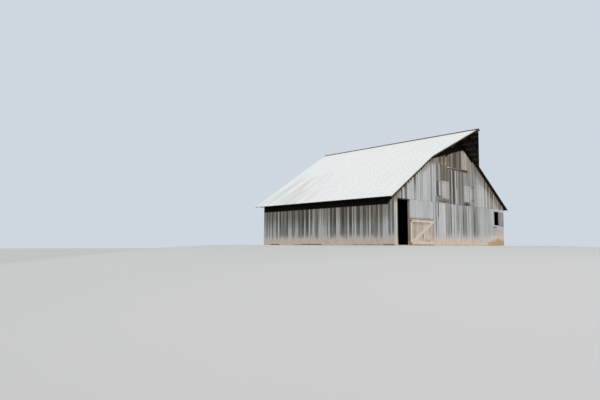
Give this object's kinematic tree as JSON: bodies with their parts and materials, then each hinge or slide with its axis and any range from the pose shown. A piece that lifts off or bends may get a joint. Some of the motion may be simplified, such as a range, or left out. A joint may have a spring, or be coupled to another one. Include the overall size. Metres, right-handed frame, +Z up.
{
  "type": "barn",
  "caption": "Gable barn of grey vertical boards with a white metal roof that runs out into a pointed hay hood, an open doorway and a hinged half door.",
  "frame": {"origin": "middle of the outline on the ground, at the foot of the walls", "axes": "+X along the front wall, towards its right end seen from in front; +Y from the front gable to the back; +Z up"},
  "size_m": [12.95, 11.73, 6.5243],
  "materials": {
    "weathered_boards": "weathered, bare, rough",
    "pale_boards": "weathered pale, bare, rough",
    "door_boards": "bare, less weathered",
    "jamb_wood": "bare, stained",
    "shaded_wood": "bare, dark",
    "rough_timber": "rough sawn",
    "roof_metal": "matt white with faint streaks",
    "ridge_metal": "dull, weathered",
    "iron": "rusted"
  },
  "bodies": {
    "barn": {"front_corner_panel": "pale_boards", "over_door_panel": "weathered_boards", "front_right_panel": "weathered_boards", "front_gable": "weathered_boards", "left_wall": "weathered_boards", "right_wall": "weathered_boards", "back_wall": "weathered_boards", "ground_sills": "rough_timber", "side_posts": "rough_timber", "end_posts": "rough_timber", "gable_posts": "rough_timber", "doorway_jamb": "rough_timber", "door_post": "rough_timber", "half_door_post": "rough_timber", "door_post_board": "jamb_wood", "thresholds": "shaded_wood", "top_plates": "rough_timber", "tie_beams": "rough_timber", "side_girts": "rough_timber", "front_girts": "rough_timber", "back_girts": "rough_timber", "window_frame": "rough_timber", "ridge_beam": "rough_timber", "left_rafters": "rough_timber", "right_rafters": "rough_timber", "hood_rafters": "rough_timber", "left_laths": "shaded_wood", "right_laths": "shaded_wood", "roof_left": "roof_metal", "roof_right": "roof_metal", "ridge_cap": "ridge_metal", "front_rake_boards": "shaded_wood", "back_rake_boards": "shaded_wood", "hood_edge_boards": "shaded_wood", "door_pintles": "iron", "hay_shutter_left": "pale_boards", "hay_shutter_right": "pale_boards", "shutter_hinges": "iron", "hay_trim": "shaded_wood", "window_shutter": "weathered_boards", "window_cleat": "shaded_wood"},
    "half_door": {"half_door": "door_boards", "half_door_rails": "door_boards", "half_door_brace": "pale_boards", "half_door_straps": "iron"}
  },
  "joints": [
    {"name": "half_door_hinge", "type": "hinge", "parent": "barn", "child": "half_door", "pos_m": [-4.662, -4.415, 0.037], "axis": [0, 0, -1], "range_deg": [0, 105]}
  ]
}
